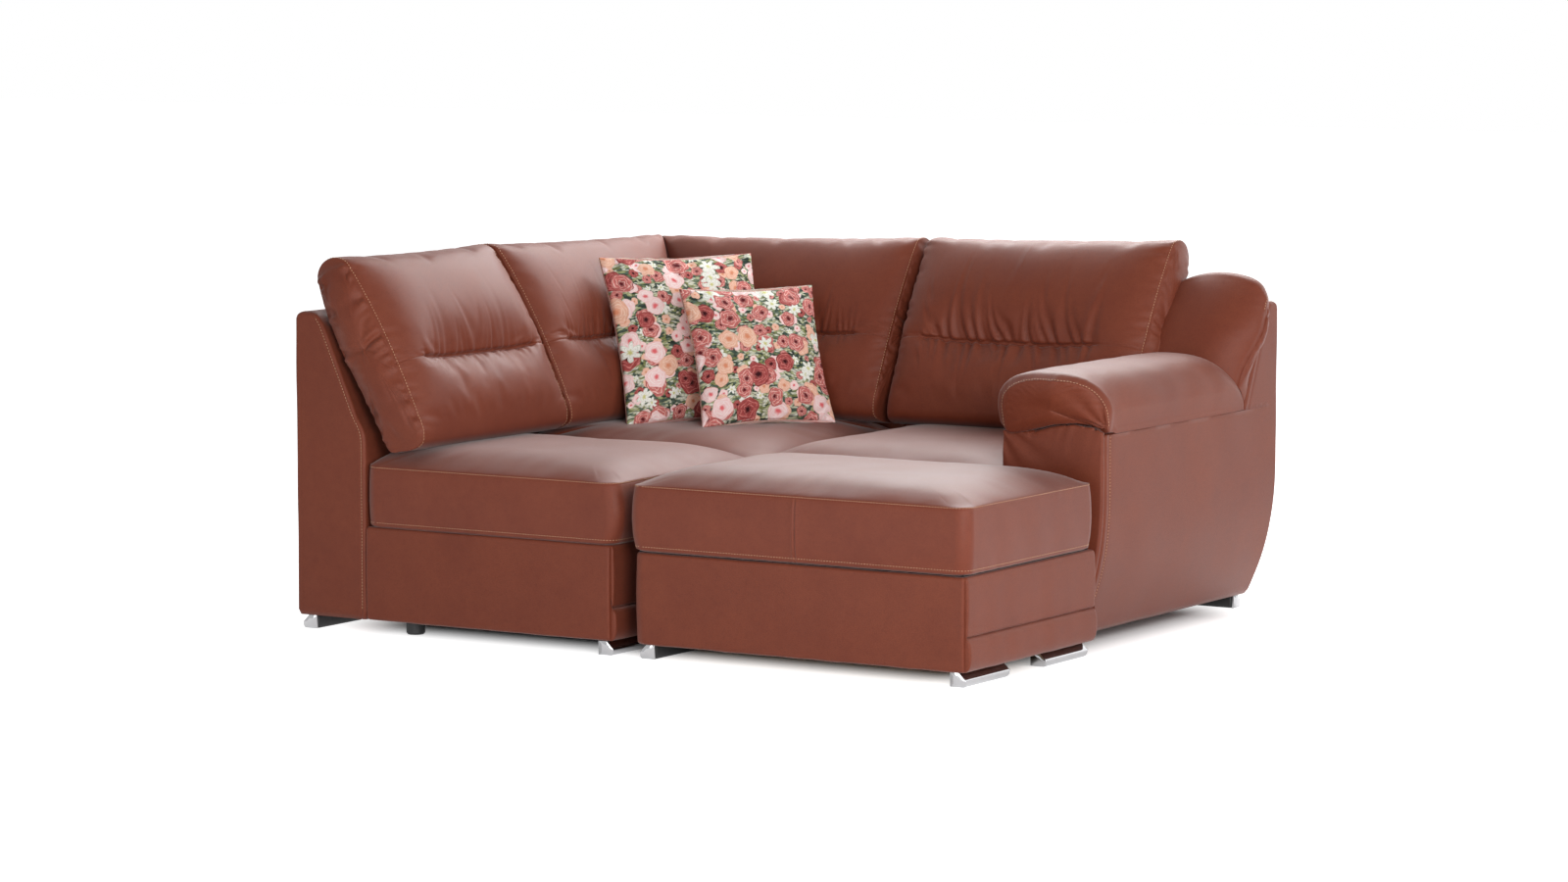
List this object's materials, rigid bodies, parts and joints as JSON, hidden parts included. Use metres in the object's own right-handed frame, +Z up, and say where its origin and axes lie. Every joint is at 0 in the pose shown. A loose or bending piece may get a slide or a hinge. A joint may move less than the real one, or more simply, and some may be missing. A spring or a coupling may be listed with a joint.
{
  "type": "corner sofa",
  "caption": "Modular leather corner sofa: leaning tufted back cushions, an overlapping padded armrest, a lift-top storage ottoman in the open corner, chrome bar feet, loose scatter cushions",
  "frame": {"origin": "on the floor, under the middle of the whole plan, ottoman included", "axes": "+X along the front to the armrest, +Y to the rear, +Z up"},
  "size_m": [1.9702, 1.613, 0.9402],
  "materials": {
    "leather": "satin, fine grain",
    "print": "woven cotton, floral print",
    "chrome": "polished",
    "plastic": "matt",
    "timber": "sawn",
    "steel": "wire and bolts",
    "lining": "non-woven"
  },
  "bodies": {
    "sofa": {"end_seat_cushion": "leather", "end_base_front": "leather", "end_base_side": "leather", "end_back_shell": "leather", "end_back_cushion": "leather", "corner_seat_cushion": "leather", "corner_back_shell_left": "leather", "corner_back_shell_rear": "leather", "corner_back_cushion_left": "leather", "corner_back_cushion_rear": "leather", "arm_seat_cushion": "leather", "arm_base_front": "leather", "arm_back_shell": "leather", "arm_back_cushion": "leather", "armrest_body": "leather", "armrest_front_panel": "leather", "armrest_pad": "leather", "armrest_ear": "leather", "end_frame": "timber", "corner_frame": "timber", "arm_frame": "timber", "end_springs": "steel", "corner_springs": "steel", "arm_springs": "steel", "bolt_end_corner_1": "steel", "bolt_end_corner_2": "steel", "bolt_corner_arm_1": "steel", "bolt_corner_arm_2": "steel", "end_lining": "lining", "corner_lining": "lining", "arm_lining": "lining", "leg_end_front": "plastic", "leg_end_rear_left": "plastic", "leg_end_rear_right": "plastic", "leg_corner_front_left": "plastic", "leg_corner_front_right": "plastic", "leg_corner_rear_right": "plastic", "leg_arm_front_left": "plastic", "leg_arm_rear_left": "plastic", "leg_armrest": "plastic", "foot_end_back": "chrome", "foot_end_front": "chrome", "foot_corner_rear": "chrome", "foot_arm_rear": "chrome"},
    "ottoman": {"ottoman_front_board": "leather", "ottoman_rear_board": "leather", "ottoman_left_board": "leather", "ottoman_right_board": "leather", "ottoman_floor": "timber", "foot_ottoman_front_right": "chrome", "foot_ottoman_rear_right": "chrome", "foot_ottoman_front_left": "chrome", "foot_ottoman_rear_left": "chrome"},
    "ottoman_lid": {"ottoman_lid_board": "timber", "ottoman_cushion": "leather"},
    "scatter_rear": {"scatter_cushion_rear": "print"},
    "scatter_front": {"scatter_cushion_front": "print"}
  },
  "joints": [
    {"name": "ottoman_slide", "type": "slide", "parent": "sofa", "child": "ottoman", "axis": [0, -1, 0], "range_m": [0, 0.6]},
    {"name": "ottoman_lid_lift", "type": "slide", "parent": "ottoman", "child": "ottoman_lid", "axis": [0, 0, 1], "range_m": [0, 0.14]},
    {"name": "scatter_rear_lift", "type": "slide", "parent": "sofa", "child": "scatter_rear", "axis": [-0.2836, 0.1913, 0.9397], "range_m": [0, 0.35]},
    {"name": "scatter_front_lift", "type": "slide", "parent": "sofa", "child": "scatter_front", "axis": [0, 0, 1], "range_m": [0, 0.35]}
  ]
}
